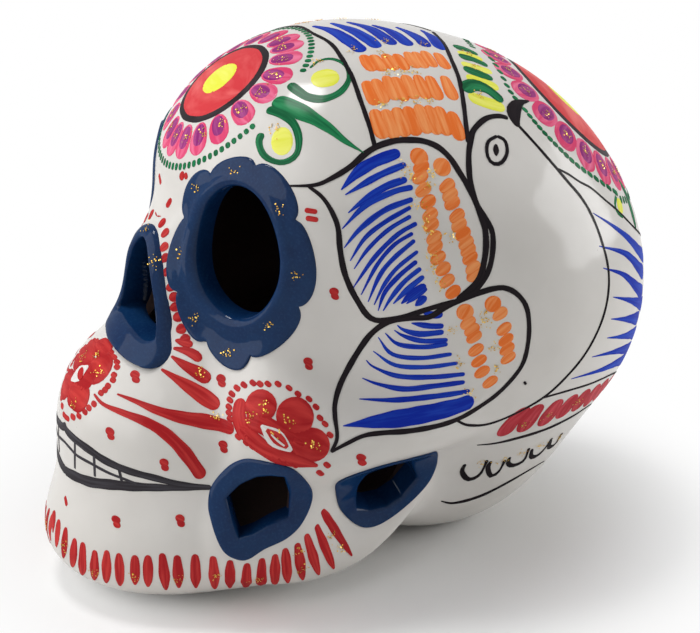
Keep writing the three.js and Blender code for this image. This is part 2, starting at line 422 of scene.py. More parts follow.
def slip_material():
    """White slip brushed on terracotta, fired and varnished: a warm white with faint clouds and specks."""
    cloud_size = 26.0
    speck_size = 5.0
    speck_edge = (0.03, 0.05)
    speck_strength = 0.45
    clean_share = 0.93
    material, tree, coordinates = new_material("white_slip_varnished")
    cloud = add(tree, "TexNoise", {"Vector": coordinates, "Scale": per_metre(cloud_size), "Detail": 4.0})
    tint = add(tree, "Mix", {
        0: cloud.outputs["Fac"], 6: linear("#E0DDD9"), 7: linear("#CCC8C2"),
    }, data_type="RGBA")
    cell = add(tree, "TexVoronoi", {"Vector": coordinates, "Scale": per_metre(speck_size)}).outputs
    speck = add(tree, "MapRange", {
        "Value": cell["Distance"], "From Min": speck_edge[0], "From Max": speck_edge[1],
        "To Min": speck_strength, "To Max": 0.0,
    })
    draw = add(tree, "TexWhiteNoise", {"Vector": cell["Position"]})
    chosen = add(tree, "Math", {0: draw.outputs["Value"], 1: clean_share}, operation="GREATER_THAN")
    share = add(tree, "Math", {0: speck.outputs["Result"], 1: chosen.outputs["Value"]}, operation="MULTIPLY")
    colour = add(tree, "Mix", {
        0: share.outputs["Value"], 6: tint.outputs[2], 7: linear("#6B5A50"),
    }, data_type="RGBA")
    shader = add(tree, "BsdfPrincipled", {
        "Base Color": colour.outputs[2], "Roughness": 0.38, "IOR": 1.5,
        **varnish(tree, coordinates, FULL_COAT),
    })
    add(tree, "OutputMaterial", {"Surface": shader.outputs["BSDF"]})
    return material


def hollow_clay_and_shade_material():
    """Bare terracotta in the hollow: rough, with its red-brown darkened as painted shade of the closed
    hollow.
    """
    grain_size = 1.2
    grain_depth = 0.15
    material, tree, coordinates = new_material("raw_terracotta_and_painted_shade")
    grain = add(tree, "TexNoise", {"Vector": coordinates, "Scale": per_metre(grain_size), "Detail": 5.0})
    # Both browns are the clay's red-brown darkened to painted shade of the hollow inside the skull.
    colour = add(tree, "Mix", {
        0: grain.outputs["Fac"], 6: linear("#22120E"), 7: linear("#3A2019"),
    }, data_type="RGBA")
    bump = add(tree, "Bump", {"Height": grain.outputs["Fac"], "Distance": grain_depth * MM})
    shader = add(tree, "BsdfPrincipled", {
        "Base Color": colour.outputs[2], "Normal": bump.outputs["Normal"], "Roughness": 0.85,
    })
    add(tree, "OutputMaterial", {"Surface": shader.outputs["BSDF"]})
    return material


def enamel_material():
    """Thick cobalt enamel laid with a full brush: deep blue, glossy, a little cloudy where it is thin."""
    cloud_size = 9.0
    grit_size = 0.7
    grit_range = (0.5, 0.8)
    grit_strength = 0.35
    material, tree, coordinates = new_material("blue_enamel_glossy")
    cloud = add(tree, "TexNoise", {"Vector": coordinates, "Scale": per_metre(cloud_size), "Detail": 5.0})
    grit = add(tree, "TexNoise", {"Vector": coordinates, "Scale": per_metre(grit_size), "Detail": 2.0})
    deep = add(tree, "Mix", {
        0: cloud.outputs["Fac"], 6: linear("#081E46"), 7: linear("#143962"),
    }, data_type="RGBA")
    share = add(tree, "MapRange", {
        "Value": grit.outputs["Fac"], "From Min": grit_range[0], "From Max": grit_range[1],
        "To Min": 0.0, "To Max": grit_strength,
    })
    colour = add(tree, "Mix", {
        0: share.outputs["Result"], 6: deep.outputs[2], 7: linear("#24466F"),
    }, data_type="RGBA")
    shader = add(tree, "BsdfPrincipled", {
        "Base Color": colour.outputs[2], "Roughness": 0.3, "IOR": 1.52,
        **varnish(tree, coordinates, ENAMEL_COAT, roughness=0.06),
    })
    add(tree, "OutputMaterial", {"Surface": shader.outputs["BSDF"]})
    return material


# Meshes
WELD = 1e-6
ON_PLANE = 1e-4
SHARP_ANGLE = math.radians(40)


def add_object(name, data):
    """Puts an object with its data in the scene."""
    thing = bpy.data.objects.new(name, data)
    bpy.context.scene.collection.objects.link(thing)
    return thing


def mesh_object(mesh, name, materials):
    """Puts a finished mesh with its materials in the scene."""
    data = bpy.data.meshes.new(name)
    mesh.to_mesh(data)
    mesh.free()
    for material in materials:
        data.materials.append(material)
    return add_object(name, data)


def add_sheet(mesh, places, layer=None, marks=None):
    """Adds a sheet with a corner at each place (rows, columns, xyz) and welds the edges that meet."""
    rows, columns = places.shape[:2]
    grid = bmesh.ops.create_grid(mesh, x_segments=columns - 1, y_segments=rows - 1, size=1.0)
    for corner in grid["verts"]:
        column = round((corner.co.x + 1) / 2 * (columns - 1))
        row = round((corner.co.y + 1) / 2 * (rows - 1))
        corner.co = places[row, column] * MM
        if layer:
            corner[layer] = marks[row, column]
    bmesh.ops.remove_doubles(mesh, verts=grid["verts"], dist=WELD)


def finish_piece(mesh, name, materials, node=None):
    """Makes a mesh a piece that rides on the skull, with smooth faces and crisp edges."""
    bmesh.ops.recalc_face_normals(mesh, faces=mesh.faces)
    for face in mesh.faces:
        face.smooth = True
    for edge in mesh.edges:
        edge.smooth = not (edge.is_manifold and edge.calc_face_angle() > SHARP_ANGLE)
    piece = mesh_object(mesh, name, materials)
    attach(piece, "root")
    if node:
        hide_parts(node)


def mirrored(mesh):
    """A copy of a mesh on the other side of the middle plane."""
    copy = mesh.copy()
    bmesh.ops.scale(copy, vec=(-1, 1, 1), verts=copy.verts)
    bmesh.ops.reverse_faces(copy, faces=copy.faces)
    return copy


def finish_sides(mesh, name, material, both):
    """Makes a mesh of paint or glitter a piece, and its mirror image too if it is on both sides."""
    if both:
        finish_piece(mirrored(mesh), f"{name}_right", [material])
        name = f"{name}_left"
    finish_piece(mesh, name, [material])


def places_of(corners):
    """Places of corners in millimetres."""
    return np.array([corner.co for corner in corners]) / MM


def put(corners, places):
    """Moves corners to places given in millimetres."""
    for corner, place in zip(corners, places):
        corner.co = place * MM


# Clay halves
CLAY_DETAIL = 7
CUT_MARGIN = 1.6


def cut_opening(mesh, opening):
    """Cuts an opening into the clay, a little wider than the hole that the enamel leaves."""
    mesh.verts.ensure_lookup_table()
    points = places_of(mesh.verts)
    flat = opening.flat(points)
    depth = (points - opening.centre) @ opening.outwards
    edge = radius_of(opening.hole, bearings(flat)) + CUT_MARGIN
    inside = (np.linalg.norm(flat, axis=1) < edge) & (depth > -START_OUT)
    doomed = [corner for corner, cut in zip(mesh.verts, inside) if cut]
    around = {other for corner in doomed for link in corner.link_edges for other in link.verts}
    rim = list(around - set(doomed))
    bmesh.ops.delete(mesh, geom=doomed, context="VERTS")
    angles = bearings(opening.flat(places_of(rim)))
    put(rim, opening.drop(radius_of(opening.hole, angles) + CUT_MARGIN, angles, 0.0))


def clay_halves(slip, hollow_clay_and_shade):
    """The two pressed halves of clay."""
    mesh = bmesh.new()
    bmesh.ops.create_icosphere(mesh, subdivisions=CLAY_DETAIL, radius=1.0)
    geometry = mesh.verts[:] + mesh.edges[:] + mesh.faces[:]
    bmesh.ops.bisect_plane(
        mesh, geom=geometry, dist=ON_PLANE, plane_co=(0, 0, 0), plane_no=(-1, 0, 0), clear_outer=True,
    )
    rays = unit(unit(places_of(mesh.verts)) + FACE_PULL)
    put(mesh.verts, reach(HEART + rays * FAR_OUT, -rays))
    for opening in OPENINGS.values():
        cut_opening(mesh, opening)
    outside = mesh.faces[:]
    wall = bmesh.ops.extrude_face_region(mesh, geom=outside, use_keep_orig=True)["geom"]
    inner = [part for part in wall if isinstance(part, bmesh.types.BMVert)]
    put(inner, settle(places_of(inner), -WALL))
    for face in set(mesh.faces) - set(outside):
        face.material_index = 1
    right = mirrored(mesh)
    finish_piece(mesh, "clay_half_left", [slip, hollow_clay_and_shade], "left_skull_half")
    finish_piece(right, "clay_half_right", [slip, hollow_clay_and_shade], "right_skull_half")


# Enamel collars
LINING = 1.1
LINING_DEPTH = 7.0
LIP_STEPS = 7
ROOM_FOR_LIP = 1.2
UNDER_EDGE = 0.3


def collar_mesh(opening, edge, face, lip):
    """A coat around an opening that rolls over the lip and lines the cut.

    edge gives the rounded outer edge as (inset, height), face the field as (share of the way from the
    edge to the lip, height), and lip the radius of the roll.
    """
    angles = np.linspace(0, FULL_TURN, COLLAR_POINTS + 1)
    hole = radius_of(opening.hole, angles)
    field = radius_of(opening.field, angles)
    rings = [opening.drop(field - inset, angles, height) for inset, height in edge]
    inset, flat_top = edge[-1]
    brim = field - inset
    room = np.clip((brim - hole) / (ROOM_FOR_LIP * lip), 0, 1)
    lip = lip * room
    for share, height in face:
        rise = flat_top + (height - flat_top) * room
        rings.append(opening.drop(brim + (hole + lip - brim) * share, angles, rise))
    start = rings[-1]
    corner = opening.drop(hole, angles, rise)
    end = corner - opening.outwards * lip[:, None]
    for t in np.linspace(0, 1, LIP_STEPS)[1:]:
        rings.append(start * (1 - t) ** 2 + corner * 2 * t * (1 - t) + end * t ** 2)
    rings.append(corner - opening.outwards * LINING_DEPTH)
    behind = opening.drop(hole + LINING, angles, 0.0)
    rings.append(behind - opening.outwards * LINING_DEPTH)
    rings.append(behind - opening.outwards * LINING)
    rings.append(opening.drop(brim, angles, edge[0][1] - UNDER_EDGE))
    rings.append(rings[0])
    mesh = bmesh.new()
    add_sheet(mesh, np.stack(rings))
    return mesh


THIN_EDGE = [(0.0, -0.3), (0.0, 0.08), (0.12, 0.28), (0.4, 0.4), (0.9, 0.45)]
THICK_EDGE = [(0.0, -0.3), (0.0, 0.4), (0.25, 0.9), (0.8, 1.25), (1.5, 1.4)]
FLOWER_FACE = [(0.2, 0.43), (0.45, 0.4), (0.65, 0.42), (0.82, 0.6), (1.0, 0.85)]
FLAT_FACE = [(0.35, 0.43), (0.7, 0.43), (1.0, 0.45)]
MOULDING_FACE = [(0.5, 1.5), (1.0, 1.4)]
NOSE_LIP = 1.6

# Edge, face and radius of the lip around the openings that both sides have
SIDE_COLLARS = {
    "eye": (THIN_EDGE, FLOWER_FACE, 2.6),
    "jaw": (THIN_EDGE, FLAT_FACE, 1.3),
    "arch": (THIN_EDGE, FLAT_FACE, 1.3),
}


def enamel_collars(enamel):
    """The enamel around every opening."""
    for name, (edge, face, lip) in SIDE_COLLARS.items():
        left = collar_mesh(OPENINGS[name], edge, face, lip)
        right = mirrored(collar_mesh(far_eye(), edge, face, lip) if name == "eye" else left)
        finish_piece(left, f"enamel_{name}_left", [enamel], f"left_{name}_collar")
        finish_piece(right, f"enamel_{name}_right", [enamel], f"right_{name}_collar")
    nose = collar_mesh(OPENINGS["nose"], THICK_EDGE, MOULDING_FACE, NOSE_LIP)
    finish_piece(nose, "enamel_nose", [enamel], "nose_collar")


# Brush painting: every stroke is a thin closed film that follows the skin
SPACING = 0.8
FEWEST_ROWS = 9
STRIP_WIDTH = 3.0
SPOKE_POINTS = 9
SPOT_POINTS = 25
COAT = 0.10
FILM_SUNK = 0.12
OVER_MIDDLE = -1.0
EDGE_DROP = 0.03
WAVER = 0.05
WAVER_LIMIT = 0.07
WAVER_PER_MM = 0.9
rng = np.random.default_rng(11)


def dab(x, y, across, down, *widths):
    """A short stroke around a pixel, with its way in pixels and its widths in millimetres."""
    return [(x - across / 2, y - down / 2), (x + across / 2, y + down / 2)], widths


def dabs(places, across, down, *widths):
    """The same short stroke at several pixels."""
    return [dab(x, y, across, down, *widths) for x, y in places]


def row(path, count, across, down, *widths):
    """The same short stroke at even steps along a path of pixels."""
    return dabs(evenly(smooth_path(path), count), across, down, *widths)


def spokes(patch, angles, inner, outer, *widths):
    """Strokes that point away from the middle of a patch."""
    strokes = []
    for angle in np.radians(angles):
        radius = np.linspace(inner, outer, SPOKE_POINTS)
        strokes.append((patch.drop(radius, np.full(SPOKE_POINTS, angle), 0.0), widths))
    return strokes


def spot(patch, half_width, half_height, x=0.0, y=0.0):
    """A round or oval spot in a patch."""
    across = np.linspace(x - half_width, x + half_width, SPOT_POINTS)
    return patch.drop(np.hypot(across, y), np.arctan2(y, across), 0.0), (2 * half_height,)


def disc(patch, radius):
    """A round spot in the middle of a patch."""
    return spot(patch, radius, radius)


def stroke_paths(strokes):
    """Paths of strokes on the skin; those given in pixels are dropped on it all at once."""
    flat = [smooth_path(path) if np.shape(path)[1] == 2 else None for path, _ in strokes]
    pixels = [path for path in flat if path is not None]
    found = []
    if pixels:
        ends = np.cumsum([len(path) for path in pixels])[:-1]
        found = np.split(on_skin(np.concatenate(pixels)), ends)
    found = iter(found)
    return [path if line is None else next(found) for (path, _), line in zip(strokes, flat)]


def rounded(away, radius):
    """Share of the full width at a distance from a round end."""
    return np.sqrt(1 - np.square(1 - np.clip(away / max(radius, TINY), 0, 1)))


def stroke_grid(path, widths, height):
    """Corners, heights and marks of one stroke: rows along it, columns over it and back under it."""
    total = lengths_along(path)[-1]
    count = max(FEWEST_ROWS, int(total / SPACING))
    along = total * (1 - np.cos(np.linspace(0, math.pi, count))) / 2
    middle = points_at(path, along)
    eased = smooth_path(np.array(widths, float)[:, None])[:, 0] if len(widths) > 1 else np.array(widths)
    half = np.maximum(np.interp(along / total, np.linspace(0, 1, len(eased)), eased), 0) / 2
    half *= rounded(along, min(half[0], total / 2)) * rounded(total - along, min(half[-1], total / 2))
    waver = min(WAVER, WAVER_LIMIT / half.max())
    half *= 1 + waver * np.sin(along * WAVER_PER_MM + rng.uniform(0, FULL_TURN))
    sideways = np.cross(skin_normal(middle), unit(np.gradient(middle, axis=0)))
    top = np.linspace(-1, 1, 2 * math.ceil(max(widths) / STRIP_WIDTH) + 1)
    across = np.concatenate((top, (1, -1, -1)))
    places = middle[:, None] + sideways[:, None] * (half[:, None] * across)[..., None]
    film = height - EDGE_DROP * top ** 4
    heights = np.tile(np.concatenate((film, (-FILM_SUNK, -FILM_SUNK, film[0]))), (count, 1))
    heights[[0, -1]] = 0
    marks = np.stack(np.broadcast_arrays(along[:, None], across, rng.uniform()), axis=2)
    return places, heights, marks


def paint(name, material, strokes, height=COAT, both=True):
    """Lays strokes of one colour, on both sides of the skull or only where they are given."""
    grids = []
    for path, (_, widths) in zip(stroke_paths(strokes), strokes):
        if both:
            path = path[path[:, 0] > OVER_MIDDLE]
        grids.append(stroke_grid(path, widths, height))
    flat = np.concatenate([places.reshape(-1, 3) for places, _, _ in grids])
    levels = np.concatenate([heights.ravel() for _, heights, _ in grids])
    ends = np.cumsum([heights.size for _, heights, _ in grids])[:-1]
    mesh = bmesh.new()
    layer = mesh.verts.layers.float_vector.new("stroke")
    for settled, (places, _, marks) in zip(np.split(settle(flat, levels), ends), grids):
        add_sheet(mesh, settled.reshape(places.shape), layer, marks)
    finish_sides(mesh, name, material, both)


def paint_material(name, thick, thin):
    """Craft paint laid with a loaded brush: streaks along the stroke and darker pooled edges."""
    streak_length = 12.5
    streaks_across = 1.8
    stroke_shift = 60.0
    streak_range = (0.3, 0.62)
    edge_power = 4.0
    pool_strength = 0.35
    uneven = 0.25
    material, tree, coordinates = new_material(name)
    stroke = add(tree, "Attribute", attribute_name="stroke").outputs["Vector"]
    drawn = add(tree, "VectorMath", {
        0: stroke, 1: (1 / streak_length, streaks_across, stroke_shift),
    }, operation="MULTIPLY")
    streak = add(tree, "TexNoise", {"Vector": drawn.outputs["Vector"], "Scale": 1.0, "Detail": 3.0})
    loaded = add(tree, "MapRange", {
        "Value": streak.outputs["Fac"], "From Min": streak_range[0], "From Max": streak_range[1],
    })
    marks = add(tree, "SeparateXYZ", {"Vector": stroke}).outputs
    edge = add(tree, "Math", {0: marks["Y"], 1: edge_power}, operation="POWER")
    pooled = add(tree, "Math", {0: edge.outputs["Value"], 1: pool_strength}, operation="MULTIPLY")
    level = add(tree, "MapRange", {"Value": marks["Z"], "To Min": -uneven, "To Max": uneven})
    share = add(tree, "Math", {0: loaded.outputs["Result"], 1: pooled.outputs["Value"]}, operation="ADD")
    share = add(tree, "Math", {
        0: share.outputs["Value"], 1: level.outputs["Result"],
    }, operation="ADD", use_clamp=True)
    colour = add(tree, "Mix", {
        0: share.outputs["Value"], 6: linear(thin), 7: linear(thick),
    }, data_type="RGBA")
    shader = add(tree, "BsdfPrincipled", {
        "Base Color": colour.outputs[2], "Roughness": 0.4, **varnish(tree, coordinates, THIN_COAT),
    })
    add(tree, "OutputMaterial", {"Surface": shader.outputs["BSDF"]})
    return material


def paint_black():
    """Outlines of the bird, its wings and the bands."""
    upper_wing = [(288, 186), (315, 185), (332, 178), (350, 167), (365, 154), (378, 146), (394, 141),
                  (408, 140), (423, 141), (438, 147), (450, 158), (458, 170), (466, 183), (474, 198),
                  (481, 216), (485, 229), (486, 246), (484, 262), (480, 276), (472, 287), (457, 300)]
    wing_edge = [(456, 301), (428, 309), (407, 316), (388, 320), (375, 320), (367, 315), (360, 305),
                 (351, 289), (344, 271), (340, 249), (338, 228), (332, 212), (322, 197), (308, 186)]
    lower_wing = [(331, 452), (337, 438), (335, 417), (335, 403), (340, 385), (350, 365), (363, 344),
                  (373, 332), (388, 322), (409, 318), (429, 317), (444, 308), (460, 300), (476, 294),
                  (492, 289), (505, 288), (517, 294), (526, 306), (529, 323), (528, 343), (523, 363),
                  (512, 379), (496, 395), (476, 409), (458, 419), (437, 426), (409, 431), (381, 433),
                  (363, 436), (346, 444), (331, 452)]
    neck = [(473, 131), (469, 150), (469, 170), (471, 185), (476, 203), (485, 218), (492, 231),
            (493, 246), (491, 262), (486, 276), (476, 290), (464, 297)]
    head = [(469, 146), (473, 131), (485, 119), (498, 116), (508, 118)]
    beak = [(518, 127), (514, 117), (514, 110), (519, 103), (529, 101)]
    back = [(517, 124), (538, 147), (558, 170), (568, 182), (580, 196), (590, 212), (600, 236),
            (608, 267), (608, 295), (601, 323), (587, 351), (568, 375), (544, 397), (514, 414),
            (488, 424), (468, 425), (456, 420)]
    tail_top = [(558, 169), (568, 174), (580, 182), (591, 188), (605, 200), (619, 212), (641, 235)]
    tail_bottom = [(542, 398), (570, 390), (592, 383), (616, 372)]
    band_front = [(312, 33), (330, 43), (341, 57), (352, 77), (360, 99), (369, 125), (375, 147)]
    band_back = [(433, 32), (444, 44), (451, 59), (459, 79), (463, 100), (466, 125), (468, 143)]
    hem = [(477, 445), (496, 443), (521, 437), (546, 429), (571, 417), (591, 404)]
    base_line = [(441, 501), (452, 503), (468, 500), (487, 493), (510, 481), (529, 470), (544, 461)]
    eye_ring = [(497, 136), (488, 142), (487, 154), (492, 163), (501, 163), (507, 153), (505, 141),
                (497, 136)]
    scallops = [
        [(465, 464), (462, 471), (466, 478), (472, 479), (480, 474), (485, 465), (487, 460)],
        [(491, 461), (488, 467), (489, 473), (492, 476), (499, 471), (505, 460)],
        [(510, 457), (508, 462), (510, 465), (515, 465), (524, 460), (529, 448)],
        [(532, 449), (531, 454), (532, 457), (538, 455), (545, 448), (552, 438)],
        [(551, 440), (549, 447), (555, 444), (562, 433)],
    ]
    strokes = [
        (upper_wing, (0.5, 1.5, 1.6, 1.6, 1.7, 1.5)), (wing_edge, (1.3, 1.5, 1.5, 1.4, 0.8)),
        (lower_wing, (0.8, 1.5, 1.5, 1.6, 1.3, 1.3, 1.3, 1.4, 0.8)), (neck, (1.5, 1.6, 1.6, 1.5, 1.5, 1.3)),
        (head, (1.6, 1.5, 1.3)), (beak, (1.6, 4.0, 3.8, 1.8, 0.5)), (back, (0.9, 0.9, 0.9, 0.9, 0.9, 0.7)),
        (tail_top, (0.6, 0.7)), (tail_bottom, (0.7, 0.7)), (band_front, (1.0, 1.2, 1.2, 1.1)),
        (band_back, (1.0, 1.2, 1.3, 1.3)), (hem, (0.3, 1.2, 1.3, 1.2, 0.5)),
        (base_line, (0.3, 1.3, 1.3, 1.0, 0.4)), (eye_ring, (0.9, 1.0, 1.0)),
        dab(496, 150, 0, 12, 0.6, 1.7, 0.6), dab(525, 383, 2, 3, 0.7),
    ]
    strokes += [(path, (0.9, 1.5, 1.5, 0.7, 1.1)) for path in scallops]
    paint("outlines", paint_material("black_outline_paint", "#161116", "#241C20"), strokes, height=0.13)


def paint_mouth():
    """The painted mouth with its teeth."""
    upper = [(64, 423), (67, 431), (76, 440), (91, 451), (106, 461), (129, 471), (155, 478), (180, 484),
             (211, 487)]
    lower = [(59, 464), (64, 469), (73, 475), (91, 482), (116, 485), (142, 487), (180, 488), (211, 488)]
    bite = [(64, 441), (71, 449), (78, 456), (94, 465), (109, 473), (127, 480), (137, 484)]
    gaps = [[(75, 441), (75, 469)], [(94, 455), (95, 477)], [(119, 469), (122, 482)]]
    strokes = [(upper, (2.2, 2.3, 2.0, 1.7, 0.9)), (lower, (2.6, 2.9, 2.7, 1.8, 0.9))]
    strokes += [(bite, (0.8, 0.8, 0.6))] + [(path, (0.8, 0.8)) for path in gaps]
    paint("mouth", paint_material("grey_mouth_paint", "#322F33", "#48464C"), strokes, height=0.12)


def paint_cobalt():
    """Feathers of the wings and the tail."""
    upper_wing = [
        ([(400, 152), (374, 162), (357, 173), (341, 190)], 2.7), ([(406, 164), (378, 176), (345, 195)], 1.55),
        ([(407, 179), (385, 187), (362, 202), (348, 213)], 1.7),
        ([(413, 187), (393, 192), (365, 206), (342, 229)], 1.35),
        ([(413, 199), (385, 210), (360, 229), (344, 248)], 1.35),
        ([(411, 207), (385, 222), (365, 238), (350, 261)], 1.1),
        ([(411, 216), (388, 230), (368, 249), (354, 269)], 1.0),
        ([(417, 223), (397, 235), (374, 258), (353, 288)], 1.1),
        ([(413, 233), (394, 245), (377, 265), (361, 295)], 0.95),
        ([(415, 240), (394, 258), (380, 275), (368, 302)], 1.1),
        ([(418, 251), (397, 268), (384, 285), (374, 305)], 1.0),
        ([(417, 261), (400, 275), (385, 292), (378, 311)], 1.15),
        ([(421, 268), (404, 282), (391, 298), (383, 311)], 1.15),
        ([(424, 276), (408, 289), (393, 304)], 1.35), ([(426, 285), (414, 292), (401, 304)], 1.75),
        ([(427, 288), (417, 296), (406, 304)], 1.15), ([(426, 296), (421, 301), (415, 306)], 1.75),
    ]
    lower_wing = [
        ([(443, 314), (434, 315), (423, 313)], 1.9), ([(444, 326), (430, 326), (411, 323)], 1.5),
        ([(444, 332), (420, 334), (404, 330), (397, 325)], 1.5),
        ([(448, 340), (423, 341), (404, 336), (394, 330)], 1.3),
        ([(448, 344), (423, 347), (398, 344), (385, 333)], 1.3),
        ([(452, 354), (420, 358), (392, 354), (378, 337)], 1.2),
        ([(458, 363), (426, 367), (395, 365), (373, 351)], 1.2),
        ([(465, 374), (432, 377), (398, 376), (374, 367), (366, 360)], 1.3),
        ([(465, 382), (434, 386), (404, 389), (378, 384), (362, 378)], 1.35),
        ([(470, 391), (437, 396), (395, 400), (359, 399)], 1.35),
        ([(474, 400), (451, 408), (409, 417), (343, 426)], 4.2),
    ]
    tail = [
        [(643, 256), (629, 239), (613, 226), (593, 213)], [(643, 273), (626, 254), (599, 246)],
        [(642, 293), (624, 275), (603, 268)], [(642, 304), (629, 300), (613, 297)],
        [(638, 318), (626, 319), (611, 319)], [(636, 332), (624, 336), (607, 338)],
        [(632, 347), (613, 352), (592, 357)], [(629, 356), (603, 369), (571, 379)],
    ]
    crown = [
        [(313, 26), (333, 31), (352, 43), (363, 52)], [(331, 23), (352, 30), (369, 40), (378, 48)],
        [(347, 22), (369, 28), (385, 38), (394, 45)], [(372, 25), (390, 31), (403, 40), (410, 46)],
        [(396, 27), (410, 33), (421, 40), (426, 47)], [(421, 30), (431, 36), (437, 43), (442, 50)],
    ]
    cobalt = paint_material("cobalt_paint", "#0A2AA4", "#1E48BC")
    strokes = [(path, (width, 1.1 * width, width, 0.25)) for path, width in upper_wing + lower_wing]
    strokes += [(path, (4.6, 3.0, 1.4, 0.2)) for path in tail]
    crown_strokes = [(path, (1.0, 3.2, 4.2, 3.8)) for path in crown]
    paint("feathers", cobalt, strokes, height=0.09)
    paint("crown_feathers", cobalt, crown_strokes, height=0.09, both=False)


def paint_orange():
    """Short dabs in the wings and rows of dabs in the band over the head."""
    wings = [
        [(421, 167), (420, 177), (423, 190), (428, 202), (430, 215), (431, 225), (434, 238), (435, 247),
         (438, 258), (443, 269), (447, 281), (453, 292)],
        [(447, 186), (450, 195), (452, 203), (457, 216), (459, 225), (463, 234), (466, 243), (468, 250),
         (470, 258), (473, 268), (474, 275)],
        [(468, 323), (472, 330), (474, 337), (476, 350), (479, 361), (482, 372), (490, 382)],
        [(500, 314), (504, 329), (506, 340), (507, 349), (508, 358)],
    ]
    first = [(419, 157), (442, 167), (465, 312), (493, 304)]
    band = [
        ([(368, 63), (378, 63), (390, 62), (401, 62), (412, 60), (420, 60), (429, 59), (442, 61)], 17, 3.6),
        ([(371, 93), (380, 91), (391, 88), (400, 89), (410, 87), (422, 87), (434, 88), (449, 88)], 25, 3.8),
        ([(379, 124), (390, 124), (401, 122), (412, 121), (423, 119), (433, 120), (443, 121), (456, 126)],
         30, 4.1),
    ]
    strokes = dabs(first, 9, -15, 4.2, 4.8, 4.4)
    for places in wings:
        strokes += dabs(places, 14, -11, 2.2, 3.2, 2.9)
    for places, length, width in band:
        strokes += dabs(places, 11, length, 0.7 * width, width, width)
    paint("dabs", paint_material("orange_paint", "#EE7632", "#F7A264"), strokes, height=0.08)


# Big flowers: radii in their patch; petals, their cores and the dashes have (inner, outer, widths)
DASH_TURN = 4.6


def brow_flower():
    """The flower on the brow, a little to the right of the middle."""
    flower = Opening((-4.5, -33.3, 132.8), 0, 53.13)
    flower.angles = (83, 68, 50, 29, 10, -12, -35, -56, -75, -92, -108, -131, 103, 123, 143, 163, 183, 205)
    flower.heart = 5.4
    flower.disc = 12.7
    flower.outline = 14.6
    flower.petal = (14.4, 23.0, 2.8, 5.6, 6.3, 5.0)
    flower.core = (14.9, 20.8, 2.0, 3.8, 3.8, 2.4)
    flower.dash = (23.8, 25.4, 1.4)
    flower.room = 26.5
    return flower


def nape_flower():
    """The flower on the back of the head; the photograph shows the near part of its ring of dashes."""
    petals = 19
    flower = Opening((12, 60.6, 118.9), 180, 43.8)
    flower.angles = 123 + np.arange(petals) * 360 / petals
    flower.heart = 6.0
    flower.disc = 17.2
    flower.outline = 19.0
    flower.petal = (19.4, 28.2, 5.0, 7.6, 7.8, 6.4)
    flower.core = (20.2, 26.2, 2.6, 5.0, 5.0, 3.2)
    flower.dash = (29.4, 31.2, 1.5)
    flower.seen_ring = [(487, 53), (499, 70), (510, 91), (525, 110), (540, 128), (558, 147), (577, 165),
                        (598, 180), (615, 192)]
    return flower


def paint_green(brow, nape):
    """Curls and leaves beside the flowers, stripes behind the band and rings of dashes."""
    upper_curl = [(289, 84), (298, 91), (308, 97), (323, 99), (339, 93), (348, 82), (349, 72), (344, 64),
                  (332, 59), (319, 61), (310, 68)]
    lower_curl = [(267, 109), (285, 116), (295, 126), (299, 141), (296, 155), (285, 162), (273, 161),
                  (263, 154), (259, 142), (262, 133)]
    leaf = [(273, 101), (288, 106), (311, 117), (330, 129), (345, 141), (364, 153)]
    limb_leaf = [(618, 179), (626, 194), (631, 209), (636, 228)]
    limb_ring = [(616, 196), (615, 206), (618, 213), (623, 217)]
    stripes = [([(454, 47), (465, 49), (478, 55)], 3.2), ([(459, 56), (472, 59), (488, 66)], 3.0),
               ([(463, 68), (477, 73), (493, 79)], 3.4), ([(463, 90), (473, 85), (487, 89), (503, 102)], 4.2)]
    strokes = [(path, (width, width, 0.7 * width)) for path, width in stripes]
    strokes += [(limb_leaf, (1.0, 3.4, 3.8, 2.2)), (limb_ring, (1.0, 1.0))]
    green = paint_material("green_paint", "#0E5A36", "#2A8A57")
    paint("leaves", green, strokes, height=0.11)
    beside_brow = [(upper_curl, (2.6, 2.4, 1.5, 1.1, 0.6)), (lower_curl, (2.4, 2.2, 1.6, 1.5, 2.2)),
                   (leaf, (4.2, 4.8, 3.2, 1.8, 0.2))]
    far_leaf = stroke_paths(beside_brow)[-1] * (-1, 1, 1)
    far_leaf = far_leaf[np.linalg.norm(brow.flat(far_leaf), axis=1) > brow.room]
    beside_brow.append((far_leaf, (1.6, 3.4, 2.4, 0.2)))
    paint("brow_curls", green, beside_brow, height=0.11, both=False)
    upper_part = np.arange(36, 206, DASH_TURN)
    lower_part = np.arange(-150, -8, DASH_TURN)
    hidden_part = np.arange(216, 442, DASH_TURN)
    ring = spokes(brow, np.concatenate((upper_part, lower_part)), *brow.dash)
    ring += row(nape.seen_ring, 26, 5.5, 5, 1.5)
    ring += spokes(nape, hidden_part, *nape.dash)
    paint("dash_rings", green, ring, height=0.11, both=False)


def paint_yellow(flowers):
    """Yellow spots, stripes and flower centres."""
    stripes = [([(458, 53), (470, 55), (483, 60)], 3.0), ([(461, 63), (476, 68), (492, 72)], 3.2),
               ([(466, 77), (482, 82), (499, 88)], 3.8), ([(468, 95), (482, 101), (505, 108)], 4.2)]
    yellow = paint_material("yellow_paint", "#E6E84C", "#F1F178")
    strokes = [(path, (0.9 * width, width, 0.8 * width)) for path, width in stripes]
    strokes.append(dab(620, 206, 2, 15, 3.6))
    spots = [dab(325, 78, 28, -6, 6.6), dab(282, 141, 22, -4, 7.6)]
    hearts = [disc(flower, flower.heart) for flower in flowers]
    paint("yellow_stripes", yellow, strokes, height=0.06)
    paint("yellow_spots", yellow, spots, height=0.06, both=False)
    paint("flower_centres", yellow, hearts, height=0.13, both=False)


